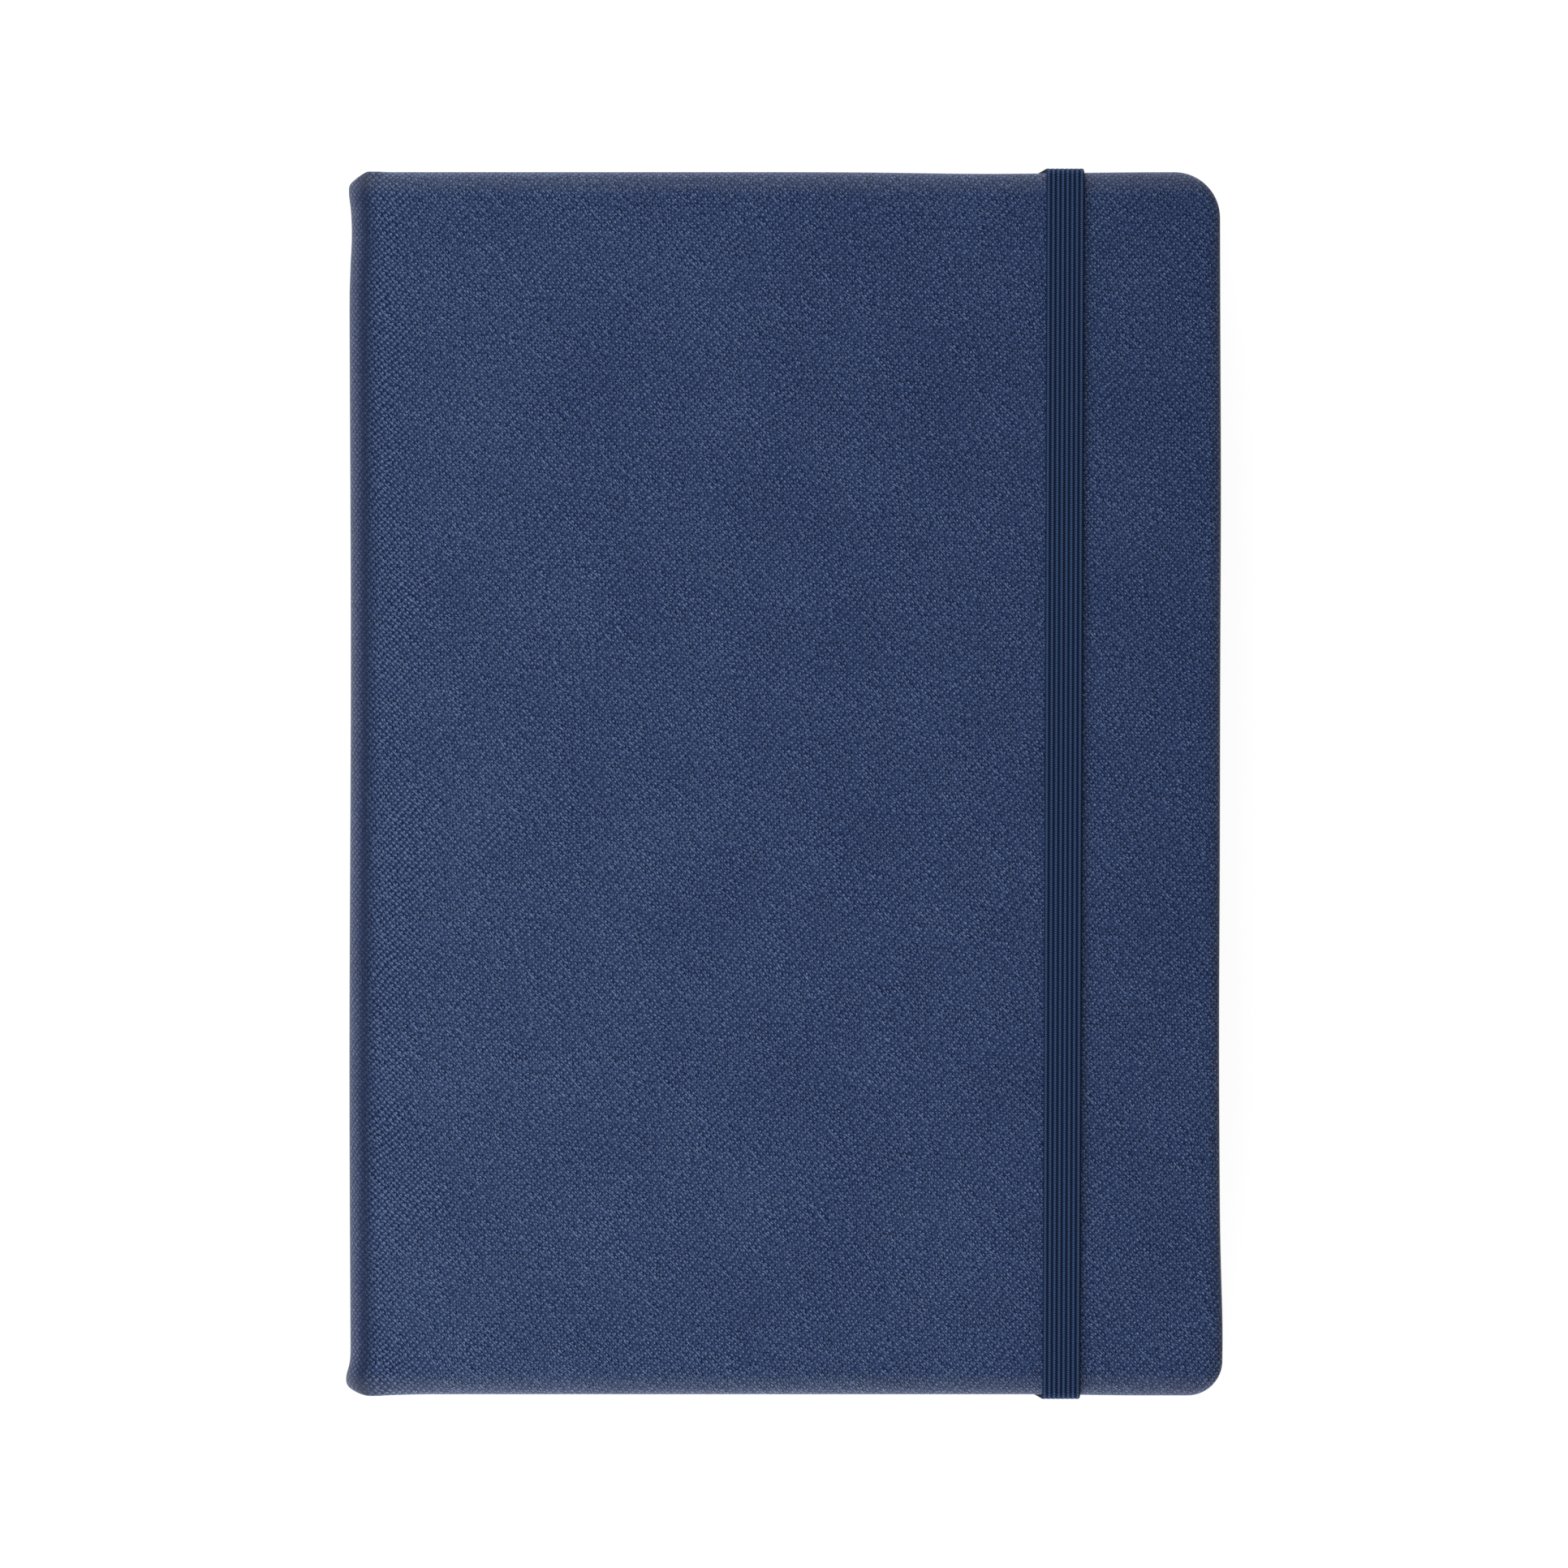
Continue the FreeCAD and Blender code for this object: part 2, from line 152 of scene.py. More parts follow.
class Nodes:
    """A short way to write a material's nodes."""

    def __init__(self, name):
        self.material = bpy.data.materials.new(name)
        self.material.use_nodes = True
        self.tree = self.material.node_tree
        self.shader = self.tree.nodes["Principled BSDF"]

    def link(self, value, socket):
        if isinstance(value, bpy.types.NodeSocket):
            self.tree.links.new(value, socket)
        else:
            socket.default_value = value

    def math(self, operation, a, b=0.0, c=0.0, clamp=False):
        """MULTIPLY_ADD is a * b + c."""
        node = self.tree.nodes.new("ShaderNodeMath")
        node.operation = operation
        node.use_clamp = clamp
        for value, socket in zip((a, b, c), node.inputs):
            self.link(value, socket)
        return node.outputs[0]

    def times(self, a, b):
        return self.math("MULTIPLY", a, b)

    def minus(self, a, b):
        return self.math("SUBTRACT", a, b)

    def size(self, value):
        return self.math("ABSOLUTE", value)

    def vector(self, operation, a, b=None):
        node = self.tree.nodes.new("ShaderNodeVectorMath")
        node.operation = operation
        self.link(a, node.inputs[0])
        if b is not None:
            self.link(b, node.inputs["Scale" if operation == "SCALE" else 1])
        return node.outputs["Value" if operation == "LENGTH" else 0]

    def split(self, vector):
        node = self.tree.nodes.new("ShaderNodeSeparateXYZ")
        self.link(vector, node.inputs[0])
        return node.outputs

    def grain_place(self):
        """The place on the flattened material, in millimetres, that make_mesh stores."""
        node = self.tree.nodes.new("ShaderNodeAttribute")
        node.attribute_name = "grain"
        return node.outputs["Vector"]

    def object_place(self):
        return self.tree.nodes.new("ShaderNodeTexCoord").outputs["Object"]

    def noise(self, vector, scale, detail=2.0, roughness=0.5, colour=False):
        """scale is in waves for each unit of vector."""
        node = self.tree.nodes.new("ShaderNodeTexNoise")
        self.link(vector, node.inputs["Vector"])
        node.inputs["Scale"].default_value = scale
        node.inputs["Detail"].default_value = detail
        node.inputs["Roughness"].default_value = roughness
        return node.outputs["Color" if colour else 0]

    def join(self, x, y):
        node = self.tree.nodes.new("ShaderNodeCombineXYZ")
        self.link(x, node.inputs[0])
        self.link(y, node.inputs[1])
        return node.outputs[0]

    def spread(self, vector, scale, detail):
        """Three noises from -0.5 to 0.5."""
        return self.vector("SUBTRACT", self.noise(vector, scale, detail, colour=True), (0.5, 0.5, 0.5))

    def cells(self, vector, randomness):
        """The nearest point of a shaken unit lattice, and a random number for that point."""
        node = self.tree.nodes.new("ShaderNodeTexVoronoi")
        node.voronoi_dimensions = "2D"
        self.link(vector, node.inputs["Vector"])
        node.inputs["Scale"].default_value = 1.0
        node.inputs["Randomness"].default_value = randomness
        return node.outputs["Position"], self.split(node.outputs["Color"])[0]

    def ramp(self, factor, *stops):
        """stops are (place, colour) pairs."""
        node = self.tree.nodes.new("ShaderNodeValToRGB")
        self.link(factor, node.inputs[0])
        elements = node.color_ramp.elements
        while len(elements) < len(stops):
            elements.new(0.5)
        for element, (place, colour) in zip(elements, stops):
            element.position = place
            element.color = (*colour, 1)
        return node.outputs[0]

    def mix(self, factor, a, b):
        node = self.tree.nodes.new("ShaderNodeMix")
        node.data_type = "RGBA"
        self.link(factor, node.inputs[0])
        self.link(a if isinstance(a, bpy.types.NodeSocket) else (*a, 1), node.inputs[6])
        self.link(b if isinstance(b, bpy.types.NodeSocket) else (*b, 1), node.inputs[7])
        return node.outputs[2]

    def bump(self, height, strength, distance):
        node = self.tree.nodes.new("ShaderNodeBump")
        self.link(height, node.inputs["Height"])
        node.inputs["Strength"].default_value = strength
        node.inputs["Distance"].default_value = distance
        self.tree.links.new(node.outputs[0], self.shader.inputs["Normal"])

    def set(self, **values):
        for name, value in values.items():
            self.link(value, self.shader.inputs[name.replace("_", " ")])


def srgb(*levels):
    """Linear colour of 0-255 screen levels."""
    return tuple(((v / 255 + 0.055) / 1.055) ** 2.4 if v > 10 else v / 255 / 12.92 for v in levels)


def leather_material():
    """Cross-grain leatherette: raised dots on a diagonal lattice, each in a moat, and crossed ridges."""
    n = Nodes("navy_leatherette")
    place = n.grain_place()
    x, y, _ = n.split(place)
    from_spine = n.size(x)

    # the lattice: two sets of diagonals, bent slowly over centimetres and shaken from dot to dot
    pitches = (("ADD", 0.73), ("SUBTRACT", 0.86))
    bend, shake, unevenness = 2.4, 0.36, 0.32
    warped = n.vector("ADD", place, n.vector("SCALE", n.spread(place, 0.10, 2), bend))
    warped = n.vector("ADD", warped, n.vector("SCALE", n.spread(place, 1.3, 1), shake))
    across, along, _ = n.split(warped)
    diagonals, ridges = [], []
    for sign, pitch in pitches:
        diagonal = n.times(n.math(sign, across, along), math.sqrt(0.5) / pitch)
        wave = n.math("COSINE", n.times(diagonal, math.pi))
        ridges.append(n.times(wave, wave))
        diagonals.append(diagonal)
    falling, rising = ridges
    lattice = n.join(*diagonals)
    nearest, chance = n.cells(lattice, unevenness)

    # dots: an oval each, some higher than others, and lower where the skin is stretched over the spine
    oval = (1.25, 0.8, 0.0)
    offset = n.vector("MULTIPLY", n.vector("SUBTRACT", lattice, nearest), oval)
    dot = n.ramp(
        n.vector("LENGTH", offset),
        (0.0, (0.80,) * 3),
        (0.13, (0.71,) * 3),
        (0.28, (0.20,) * 3),
        (0.38, (0.10,) * 3),
        (0.58, (0.60,) * 3),
    )
    dot_middle, dot_least, dot_range = 0.42, 0.62, 0.80
    stretched_and_sheen_within, stretched_and_sheen_fade = 9.0, 2.5
    stretched_and_sheen = n.math("DIVIDE", n.minus(stretched_and_sheen_within, from_spine), stretched_and_sheen_fade, clamp=True)
    dot_size = n.math("MULTIPLY_ADD", chance, dot_range, dot_least)
    dot_size = n.times(dot_size, n.math("MULTIPLY_ADD", stretched_and_sheen, -0.5, 1.0))
    dots = n.times(n.minus(dot, dot_middle), dot_size)

    # ridges: stronger near the spine and the fore-edge, and in patches
    cover_middle, calm_half_width = 90.0, 58.0
    falling_share, rising_share, ridge_middle = 0.38, 0.28, 0.33
    patches = n.minus(n.noise(place, 0.035, 2, 0.5), 0.5)
    past_calm = n.minus(n.size(n.minus(x, cover_middle)), calm_half_width)
    crossed = n.math("MULTIPLY_ADD", past_calm, 0.06, n.times(patches, 2.0))
    crossed = n.math("MAXIMUM", n.math("MINIMUM", crossed, 1.15), 0.6)
    lines = n.math("MULTIPLY_ADD", falling, falling_share, n.times(rising, rising_share))
    lines = n.times(n.minus(lines, ridge_middle), crossed)

    fine = n.minus(n.noise(place, 1.2, 1, 0.5), 0.5)
    height = n.math("MULTIPLY_ADD", fine, 0.62, n.math("ADD", dots, lines))

    # colour follows height, on a tone that wanders; painted light makes it a little paler near the spine and
    # the tail
    broad = n.minus(n.noise(place, 0.05, 3, 0.6), 0.5)
    painted_light_falloff = n.math("MULTIPLY_ADD", y, -0.0002, n.times(n.minus(70.0, from_spine), 0.0007))
    tone = n.math("MULTIPLY_ADD", broad, 0.20, 0.482)
    # the ramp gives the grain's own tone; its pale top stops on the raised dots are painted highlight, and
    # its dark stops in their moats painted shade
    colour = n.ramp(
        n.math("ADD", tone, n.math("MULTIPLY_ADD", height, 1.12, painted_light_falloff)),
        (0.0, srgb(12, 26, 60)),
        (0.30, srgb(32, 49, 86)),
        (0.54, srgb(49, 66, 102)),
        (0.75, srgb(74, 92, 129)),
        (1.0, srgb(106, 124, 158)),
    )
    # painted sheen: over the spine and its shoulder the colour is mixed towards grey
    colour = n.mix(n.times(stretched_and_sheen, 0.38), colour, srgb(46, 47, 64))

    # painted shade: a dark band beside the shoulder; painted highlight: the head and tail edges made paler
    shade_band_width, edge_highlight_from, edge_highlight_reach = 1.5, 0.6, 3.6
    painted_shade_band = n.math("DIVIDE", n.minus(from_spine, SHADE_BAND_AT), shade_band_width)
    painted_shade_band = n.math("EXPONENT", n.times(n.times(painted_shade_band, painted_shade_band), -1.0))
    colour = n.mix(n.times(painted_shade_band, 0.82), colour, srgb(22, 34, 64))
    from_edge = n.minus(n.minus(HALF, n.size(y)), edge_highlight_from)
    painted_edge_highlight = n.math("SUBTRACT", 1.0, n.math("DIVIDE", from_edge, edge_highlight_reach), clamp=True)
    # painted highlight: the head and tail edges are mixed towards pale grey
    colour = n.mix(n.times(painted_edge_highlight, 0.11), colour, srgb(160, 160, 160))

    n.set(Base_Color=colour, Roughness=n.math("MULTIPLY_ADD", height, -0.10, 0.52))
    n.shader.inputs["Specular IOR Level"].default_value = 0.5
    n.bump(height, 0.8, 0.00016)
    return n.material


def elastic_material():
    """Woven elastic: the ribs are in the mesh, and this adds the slanting picks on them."""
    n = Nodes("navy_elastic")
    place = n.grain_place()
    along, across, _ = n.split(place)
    pick_pitch, pick_lean = 0.39, 1.55
    rib = n.times(across, 2 * math.pi / (ELASTIC_WIDTH / RIBS))
    crown = n.math("MULTIPLY_ADD", n.math("COSINE", rib), -0.5, 0.5)
    lean = n.times(n.math("SINE", n.times(rib, 0.5)), pick_lean)
    pick = n.math("SINE", n.math("ADD", n.times(along, 2 * math.pi / pick_pitch), lean))
    fuzz = n.noise(place, 6.0, 2, 0.6)
    height = n.math("MULTIPLY_ADD", pick, 0.21, n.math("MULTIPLY_ADD", crown, 0.66, 0.08))
    height = n.math("MULTIPLY_ADD", n.minus(fuzz, 0.5), 0.6, height)
    # colour follows height: the weave's own picks and fuzz, and painted shade that darkens the grooves
    # between the ribs' crowns
    colour = n.ramp(
        height,
        (0.0, srgb(10, 16, 38)),
        (0.4, srgb(25, 38, 68)),
        (1.0, srgb(64, 90, 126)),
    )
    n.set(Base_Color=colour, Roughness=n.math("MULTIPLY_ADD", fuzz, 0.2, 0.7))
    n.shader.inputs["Specular IOR Level"].default_value = 0.3
    n.bump(height, 0.6, 0.0001)
    return n.material


def paper_material(name, colour, fibre=0.03):
    """Slightly cloudy paper, board or thread. Returns the Nodes, so that more can be drawn on it."""
    n = Nodes(name)
    place = n.object_place()
    cloud = n.noise(place, 60, 3, 0.6)
    fibres = n.noise(place, 1800, 3, 0.6)
    dark = tuple(c * (1 - 3 * fibre) for c in colour)
    n.set(Base_Color=n.mix(cloud, dark, colour), Roughness=n.math("MULTIPLY_ADD", fibres, 0.12, 0.78))
    n.shader.inputs["Specular IOR Level"].default_value = 0.25
    n.bump(fibres, 0.15, 0.00003)
    return n


def ruled(n, colour, ink):
    """Rules a page spread as a plain log table: rows, column lines and a heading band."""
    x, y, _ = n.split(n.grain_place())
    row, row_line, column_line, margin = 7.0, 0.10, 0.11, 0.1
    top, low = page_high[1] - 16.0, page_low[1] + 15.0
    near, far = 9.0, page_high[0] - page_low[0] - 8.0
    page = n.size(x)
    rows = n.math("LESS_THAN", n.size(n.math("PINGPONG", n.minus(y, top), row / 2)), row_line)
    columns = None
    for place in (near, 27.0, 46.0, 62.0, 78.0, 94.0, 110.0, 124.0, far):
        line = n.math("LESS_THAN", n.size(n.minus(page, place)), column_line)
        columns = line if columns is None else n.math("MAXIMUM", columns, line)
    inside = n.times(n.math("GREATER_THAN", page, near - margin), n.math("LESS_THAN", page, far + margin))
    inside = n.times(inside, n.math("LESS_THAN", y, top + margin))
    inside = n.times(inside, n.math("GREATER_THAN", y, low - margin))
    marks = n.times(n.math("MAXIMUM", rows, columns), inside)
    heading = n.times(n.math("GREATER_THAN", y, top - 2 * row), inside)
    n.set(Base_Color=n.mix(marks, n.mix(n.times(heading, 0.12), colour, ink), ink))


def cloth_material(name, light, dark, pitch):
    """Small woven trim with stripes across the book's thickness."""
    n = Nodes(name)
    place = n.object_place()
    _, _, z = n.split(place)
    stripe = n.times(n.math("PINGPONG", n.times(z, 1 / (pitch * MM)), 0.5), 2.0)
    weave = n.noise(place, 2500, 2, 0.6)
    edge = n.math("GREATER_THAN", n.math("MULTIPLY_ADD", weave, 0.3, stripe), 0.65)
    n.set(Base_Color=n.mix(edge, dark, light), Roughness=n.math("MULTIPLY_ADD", weave, 0.2, 0.72))
    n.bump(n.math("ADD", stripe, weave), 0.5, 0.0001)
    return n.material


PAGE = srgb(240, 236, 222)
ENDPAPER = srgb(233, 229, 214)
LEATHER = leather_material()
ELASTIC = elastic_material()
PAPER = paper_material("page_paper", srgb(218, 213, 198)).material
ENDS = paper_material("endpaper", ENDPAPER).material
spread_nodes = paper_material("ruled_page", PAGE)
ruled(spread_nodes, PAGE, srgb(120, 132, 150))
RULED = spread_nodes.material
GAUZE = cloth_material("lining_cloth", srgb(222, 217, 202), srgb(190, 184, 168), 0.5)
BANDS = cloth_material("end_band_cloth", srgb(226, 224, 216), srgb(42, 55, 92), 1.1)
THREAD = paper_material("sewing_thread", srgb(236, 233, 224), 0.05).material
BOARD = paper_material("grey_board", srgb(158, 153, 145), 0.05).material

CAD_LOOKS = {
    "flyleaf": ENDS,
    "spine_lining": GAUZE,
    "mull_flap": GAUZE,
    "headband": BANDS,
    "tailband": BANDS,
    "sewing_thread": THREAD,
    "board": BOARD,
    "spine_card": BOARD,
}
for node, obj in frame["nodes"].items():
    for ending, material in CAD_LOOKS.items():
        if node.endswith(ending):
            obj.data.materials.clear()
            obj.data.materials.append(material)


# The case. Each half is one closed skin: half of the spine, a shoulder and a cover, turned in all round.

ARC = SHOULDER * math.pi / 2
SPINE_FLAT = THICK / 2 - SHOULDER
COVER_FLAT = FORE - BACK - SHOULDER


def case_lines():
    """Distances from the middle of the spine, over the shoulder and across the cover to the fore-edge."""
    spine = np.linspace(0, SPINE_FLAT, 4)[:-1]
    arc = SPINE_FLAT + np.linspace(0, ARC, 19)[:-1]
    start = SPINE_FLAT + ARC
    to_board = BOARD_EDGE - BACK - SHOULDER
    near = start + np.array([0, to_board - 0.25, to_board + 0.15, 1.3, 2.2, 3.4, 5, 7, 9.5, 12.5, 16])
    end = start + COVER_FLAT
    wide = np.linspace(near[-1], end - CORNER_HEAD, 31)[1:-1]
    half_channel, wall = ELASTIC_WIDTH / 2 + CHANNEL_SIDE, 0.06
    channel = []
    for edge in (ANCHOR_X - half_channel, ANCHOR_X + half_channel):
        channel += [start + edge - BACK - SHOULDER - wall, start + edge - BACK - SHOULDER + wall]
    turned = [end - TURN_IN - 0.5, end - TURN_IN, end - TURN_IN + 0.5]
    last = np.linspace(end - CORNER_HEAD, end - EDGE_WIDE, 11)
    return np.unique(np.round(np.concatenate([spine, arc, near, wide, channel, turned, last]), 4))


def height_shares():
    """Shares of the way from the tail to the head, closer together near both."""
    near = np.array([0, 0.5, 1.0, 1.5, 2.0, 2.6, 3.2, 3.9, 4.7, 5.5, 6.4, 7.4, 8.4, 9.3, 9.42, 11, 12.5])
    near = np.concatenate([near, [TURN_IN - EDGE_WIDE - 0.5, TURN_IN - EDGE_WIDE, TURN_IN - EDGE_WIDE + 0.5]])
    length = 2 * (HALF - EDGE_WIDE)
    middle = np.linspace(18, length - 18, 45)
    return np.unique(np.round(np.concatenate([near, middle, length - near]), 4)) / length


def inside_margin(x, y):
    """1 on the board inside the turned-in margin, 0 on the margin, and a slope between."""
    inside = smooth(-x, TURN_IN - FORE - STEP_SLOPE, TURN_IN - FORE + STEP_SLOPE)
    return inside * smooth(HALF - np.abs(y), TURN_IN - STEP_SLOPE, TURN_IN + STEP_SLOPE)


def section(distance):
    """Point (x, z), inward normal (x, z) and thickness of the front half at a distance from mid-spine."""
    if distance < SPINE_FLAT:
        point, normal = (BACK, THICK / 2 + distance), (1.0, 0.0)
    elif distance < SPINE_FLAT + ARC:
        turn = (distance - SPINE_FLAT) / SHOULDER
        point = (BACK + SHOULDER * (1 - math.cos(turn)), THICK - SHOULDER * (1 - math.sin(turn)))
        normal = (math.cos(turn), -math.sin(turn))
    else:
        point = (BACK + SHOULDER + distance - SPINE_FLAT - ARC, THICK)
        normal = (0.0, -1.0)
    on_spine = 1 - smooth(distance, SPINE_FLAT - 0.6, SPINE_FLAT + 0.6)
    on_board = smooth(point[0] if distance > SPINE_FLAT + ARC else BACK, BOARD_EDGE - 0.25, BOARD_EDGE + 0.15)
    stack = FOLD_STACK + on_spine * (SPINE_STACK - FOLD_STACK) + on_board * (COVER - FOLD_STACK)
    return np.array(point), np.array(normal), float(stack)


def head_edge(x):
    """How far the head edge is from y = 0. The skin is drawn in where no board holds it out."""
    depth, reach, power = 1.75, 3.3, 1.2
    drawn = depth * np.clip(1 - (x - BACK) / reach, 0, 1) ** power
    return HALF - drawn - 0.30 * bell(x, 36.0, 17.0)


def tail_edge(x):
    """How far the tail edge is from y = 0. It is slightly hollow as far as the elastic."""
    depth, reach, power = 1.15, 3.6, 1.7
    drawn = depth * np.clip(1 - (x - BACK) / reach, 0, 1) ** power
    hollow = 0.2 * (smooth(x, BACK + 5, BACK + 14) - smooth(x, 42, 62))
    return HALF - drawn - hollow


def corner_map(x, y, radius, centre_x, centre_y, side):
    """Bends a square grid corner into a round one. Returns the new place and, at the corner, the way out."""
    u = (x - centre_x) / radius
    v = side * (y - centre_y) / radius
    if u <= 0 or v <= 0:
        return x, y, None
    u, v = min(u, 1.0), min(v, 1.0)
    a, b = u * math.sqrt(1 - v * v / 2), v * math.sqrt(1 - u * u / 2)
    length = math.hypot(a, b)
    return centre_x + radius * a, centre_y + side * radius * b, (a / length, side * b / length)


def handmade(points):
    """The outline's small irregularities: pinched and flared spine ends and a slightly wavy fore-edge."""
    x, y = points[:, 0], points[:, 1]
    head, tail = HALF - y, HALF + y
    pinch = 0.42 * bell(head, 10.5, 6.0) - 0.20 * bell(head, 3.4, 2.0)
    flare = -0.80 * bell(tail, 2.6, 2.3)
    waver = 0.12 * np.sin(y / 23.0 + 0.6)
    near_spine = 1 - smooth(x, BACK + 0.5 * SHOULDER, BACK + 1.7 * SHOULDER)
    points[:, 0] += near_spine * (pinch + flare + waver + 0.1)
    near_fore = smooth(x, FORE - 30, FORE)
    points[:, 0] += near_fore * (0.16 * bell(y, 52, 28) - 0.16 * bell(y, -45, 26) + 0.45 * bell(y, -97, 13))
    return points


def skin_grids():
    """The front half's outer and inner face as grids of points, and what the rounding of their edge needs."""
    lines, shares = case_lines(), height_shares()
    count_u, count_v = len(lines), len(shares)
    outer, inner, grain = (np.zeros((count_u, count_v, 3)) for _ in range(3))
    outward = {}
    inward = np.zeros((count_u, 3))
    stack, rounding = np.zeros(count_u), np.zeros(count_u)
    for i, distance in enumerate(lines):
        on_cover = distance > SPINE_FLAT + ARC
        point, normal, stack[i] = section(distance)
        inward[i] = (normal[0], 0, normal[1])
        rounding[i] = min(EDGE_ROUND, ROUND_SHARE * stack[i])
        if on_cover:
            fold_round = ROUND_SHARE * FOLD_STACK
            swell = smooth(point[0], BOARD_EDGE, BOARD_EDGE + SWELL)
            rounding[i] = min(rounding[i], fold_round + (EDGE_ROUND - fold_round) * swell)
        low = -tail_edge(point[0]) + SPREAD * rounding[i]
        high = head_edge(point[0]) - SPREAD * rounding[i]
        for j, share in enumerate(shares):
            x, y = point[0], low + share * (high - low)
            if on_cover:
                for side, corner, edge in ((1, CORNER_HEAD, high), (-1, CORNER_TAIL, -low)):
                    radius = corner - EDGE_WIDE
                    centre = (FORE - EDGE_WIDE - radius, side * (edge - radius))
                    x, y, way = corner_map(x, y, radius, *centre, side)
                    if way:
                        outward[i, j] = way
            outer[i, j] = (x, y, point[1])
            grain[i, j] = (distance + x - point[0], y, 0)
        # the turned-in margin stands proud of the board's inside
        sunk = inside_margin(outer[i, :, 0], outer[i, :, 1]) * (stack[i] > COVER - 0.1)
        inner[i] = outer[i] + (stack[i] - TURN_IN_STEP * sunk)[:, None] * inward[i]
    return outer, inner, grain, inward, stack, rounding, outward


def along_edge(turn):
    """Distance round the edge's elliptical profile, for a depth of 1."""
    steps = np.linspace(0, turn, 9)
    return float(np.hypot(SPREAD * np.diff(np.sin(steps)), np.diff(np.cos(steps))).sum())


def front_skin():
    """The front half's points, faces, places on the material and number of points in its outer face."""
    outer, inner, grain, inward, stack, rounding, outward = skin_grids()
    count_u, count_v = outer.shape[:2]
    border = [(i, 0) for i in range(count_u)]
    border += [(count_u - 1, j) for j in range(1, count_v)]
    border += [(i, count_v - 1) for i in range(count_u - 2, -1, -1)]

    def way_out(i, j):
        if (i, j) in outward:
            return np.array([*outward[i, j], 0.0])
        if j == 0:
            return np.array([0.0, -1.0, 0.0])
        if j == count_v - 1:
            return np.array([0.0, 1.0, 0.0])
        return np.array([1.0, 0.0, 0.0])

    # rings from the outer face's border round to the inner face's
    turns = np.radians([15, 30, 45, 60, 75, 90])
    rings, ring_grain = [], []
    for step in range(2 * len(turns)):
        ring, marks = [], []
        for i, j in border:
            r, full = rounding[i], stack[i]
            turn = turns[min(step, 2 * len(turns) - 1 - step)]
            depth, run = r * (1 - math.cos(turn)), r * along_edge(turn)
            if step >= len(turns):
                depth, run = full - depth, full - 2 * r + r * (2 * along_edge(math.pi / 2)) - run
            out = way_out(i, j)
            ring.append(outer[i, j] + SPREAD * r * math.sin(turn) * out + depth * inward[i])
            marks.append(grain[i, j] + run * out)
        rings.append(ring)
        ring_grain.append(marks)

    points = [outer.reshape(-1, 3), inner.reshape(-1, 3)] + [np.array(r) for r in rings]
    inner_grain = grain + np.array([400.0, 0, 0])  # well away from the outer face's
    marks = [grain.reshape(-1, 3), inner_grain.reshape(-1, 3)] + [np.array(m) for m in ring_grain]
    points, marks = np.concatenate(points), np.concatenate(marks)
    size, border_size = count_u * count_v, len(border)

    def top(i, j):
        return i * count_v + j

    def under(i, j):
        return size + i * count_v + j

    def loop(k, b):
        """Point b of ring k; ring -1 is the outer face's border and the last one the inner face's."""
        if k < 0:
            return top(*border[b])
        if k == len(rings):
            return under(*border[b])
        return 2 * size + k * border_size + b

    faces = []
    for i in range(count_u - 1):
        for j in range(count_v - 1):
            faces.append((top(i, j), top(i + 1, j), top(i + 1, j + 1), top(i, j + 1)))
            faces.append((under(i, j), under(i, j + 1), under(i + 1, j + 1), under(i + 1, j)))
    for k in range(-1, len(rings)):
        for b in range(border_size - 1):
            faces.append((loop(k, b), loop(k + 1, b), loop(k + 1, b + 1), loop(k, b + 1)))
    for j in range(count_v - 1):
        faces.append((top(0, j), top(0, j + 1), under(0, j + 1), under(0, j)))
    last = border_size - 1
    faces.append([loop(k, 0) for k in range(-1, len(rings) + 1)][::-1])
    faces.append([loop(k, last) for k in range(-1, len(rings) + 1)])
    return points, faces, marks, size


def case_half(name, front):
    """Half of the case as one closed skin. The rear half is the front one turned over."""
    points, faces, marks, size = front_skin()
    if not front:
        points[:, 2] = THICK - points[:, 2]
        marks[:, 0] *= -1
        faces = [tuple(face)[::-1] for face in faces]
        outside = np.ones(len(points), bool)
        outside[size : 2 * size] = False
        pressed = outside & (np.abs(points[:, 0] - ANCHOR_X) < ELASTIC_WIDTH / 2 + CHANNEL_SIDE)
        pressed &= np.abs(points[:, 1]) > HALF - CHANNEL
        points[pressed, 2] = np.maximum(points[pressed, 2], ELASTIC_THICK + 0.08)
    points = handmade(points)
    obj = make_mesh(name, points, faces, None, LEATHER, marks, sharp=48)
    if front:
        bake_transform(obj)
        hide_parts("front_cover_leather")
    else:
        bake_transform(obj)
        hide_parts("rear_cover_leather", "spine_leather")


case_half("case_skin_front", True)
case_half("case_skin_rear", False)


def board(node, body):
    """A cover's stiff board: the CAD's, with its outline drawn in behind the skin's rounded edge."""
    source = frame["nodes"][node]
    points = np.array([source.matrix_world @ v.co for v in source.data.vertices]) / MM
    faces = [tuple(face.vertices) for face in source.data.polygons]
    radius = CORNER_HEAD - BOARD_INSET
    for point in points:
        x, y = point[0] - (FORE - CORNER_HEAD), abs(point[1]) - (HALF - CORNER_HEAD)
        length = math.hypot(x, y)
        if x > 0 and y > 0 and length > radius:
            x, y = x * radius / length, y * radius / length
        x, y = min(x, radius), min(y, radius)
        point[:2] = FORE - CORNER_HEAD + x, math.copysign(HALF - CORNER_HEAD + y, point[1])
    obj = make_mesh("stiff_" + node, points, faces, body, BOARD, sharp=30)
    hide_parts(node)


board("front_board", "front_case")
board("rear_board", "rear_case")


# Sheets with two round corners: pastedowns, leaves and the middle spread


def sheet_grid(x_lines, y_lines, radius):
    """Plan points of a sheet whose two corners at the high-x end are round."""
    far, half_y = x_lines[-1], y_lines[-1]
    plan = np.zeros((len(x_lines), len(y_lines), 2))
    for i, x in enumerate(x_lines):
        for j, y in enumerate(y_lines):
            px, py = x, y
            for side in (1, -1):
                px, py, _ = corner_map(px, py, radius, far - radius, side * (half_y - radius), side)
            plan[i, j] = (px, py)
    return plan


